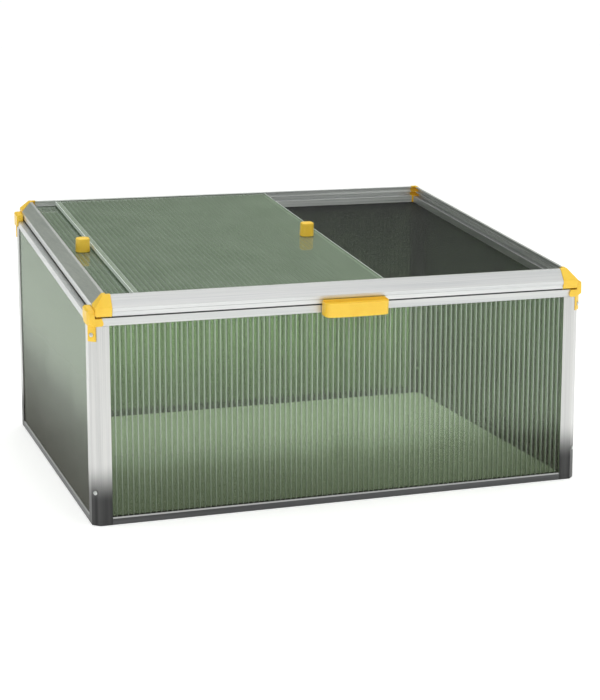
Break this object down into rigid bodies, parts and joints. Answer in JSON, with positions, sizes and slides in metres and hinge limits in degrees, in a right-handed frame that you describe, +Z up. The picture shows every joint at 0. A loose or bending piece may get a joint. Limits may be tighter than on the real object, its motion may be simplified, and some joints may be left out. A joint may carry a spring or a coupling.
{
  "type": "cold frame",
  "caption": "Bottomless plant box of aluminium posts and rails glazed with twin-wall sheet, with a sloping hinged lid that holds sliding vent sheets over an insect net.",
  "frame": {"origin": "on the ground, under the middle of the object's bounding box", "axes": "+X along the front from left to right, +Y from the front to the rear, +Z up"},
  "size_m": [1.038, 0.8749, 0.5338],
  "materials": {
    "wall_aluminium": "satin extruded mill finish",
    "lid_aluminium": "satin extruded mill finish",
    "wall_glazing": "clear twin-wall sheet",
    "roof_glazing": "clear twin-wall sheet",
    "corner_plastic": "moulded, fine grain",
    "handle_plastic": "moulded, satin",
    "knob_plastic": "moulded, satin",
    "zinc_steel": "zinc plated",
    "insect_net": "woven coated thread",
    "lid_seal": "matt",
    "net_spline": "matt"
  },
  "bodies": {
    "base": {"front_bottom_rail": "wall_aluminium", "front_left_bracket": "corner_plastic", "front_left_low_nut": "zinc_steel", "front_left_low_screw": "zinc_steel", "front_left_post": "wall_aluminium", "front_left_top_nut_plate": "zinc_steel", "front_left_top_screw": "zinc_steel", "front_right_bracket": "corner_plastic", "front_right_low_nut": "zinc_steel", "front_right_low_screw": "zinc_steel", "front_right_post": "wall_aluminium", "front_right_top_nut_plate": "zinc_steel", "front_right_top_screw": "zinc_steel", "front_top_rail": "wall_aluminium", "front_wall_sheet": "wall_glazing", "left_bottom_rail": "wall_aluminium", "left_top_rail": "wall_aluminium", "left_wall_sheet": "wall_glazing", "rear_bottom_rail": "wall_aluminium", "rear_left_bracket": "corner_plastic", "rear_left_low_nut": "zinc_steel", "rear_left_low_screw": "zinc_steel", "rear_left_post": "wall_aluminium", "rear_left_top_nut_plate": "zinc_steel", "rear_left_top_screw": "zinc_steel", "rear_right_bracket": "corner_plastic", "rear_right_low_nut": "zinc_steel", "rear_right_low_screw": "zinc_steel", "rear_right_post": "wall_aluminium", "rear_right_top_nut_plate": "zinc_steel", "rear_right_top_screw": "zinc_steel", "rear_top_rail": "wall_aluminium", "rear_wall_sheet": "wall_glazing", "right_bottom_rail": "wall_aluminium", "right_top_rail": "wall_aluminium", "right_wall_sheet": "wall_glazing"},
    "lid": {"front_lid_seal": "lid_seal", "front_net_spline": "net_spline", "handle": "handle_plastic", "insect_net": "insect_net", "left_lid_seal": "lid_seal", "left_net_spline": "net_spline", "lid_front_left_cap": "corner_plastic", "lid_front_profile": "lid_aluminium", "lid_front_right_cap": "corner_plastic", "lid_left_profile": "lid_aluminium", "lid_rear_left_cap": "corner_plastic", "lid_rear_profile": "lid_aluminium", "lid_rear_right_cap": "corner_plastic", "lid_right_profile": "lid_aluminium", "rear_lid_seal": "lid_seal", "rear_net_spline": "net_spline", "right_lid_seal": "lid_seal", "right_net_spline": "net_spline"},
    "upper_sheet": {"upper_knob": "knob_plastic", "upper_knob_screw": "zinc_steel", "upper_sliding_sheet": "roof_glazing"},
    "lower_sheet": {"lower_knob": "knob_plastic", "lower_knob_screw": "zinc_steel", "lower_sliding_sheet": "roof_glazing"}
  },
  "joints": [
    {"name": "lid_hinge", "type": "hinge", "parent": "base", "child": "lid", "pos_m": [0, 0.42969, 0.5015], "axis": [-1, 0, 0], "range_deg": [0, 80]},
    {"name": "upper_sheet_slide", "type": "slide", "parent": "lid", "child": "upper_sheet", "axis": [1, 0, 0], "range_m": [0, 0.399]},
    {"name": "lower_sheet_slide", "type": "slide", "parent": "lid", "child": "lower_sheet", "axis": [1, 0, 0], "range_m": [0, 0.006]}
  ]
}
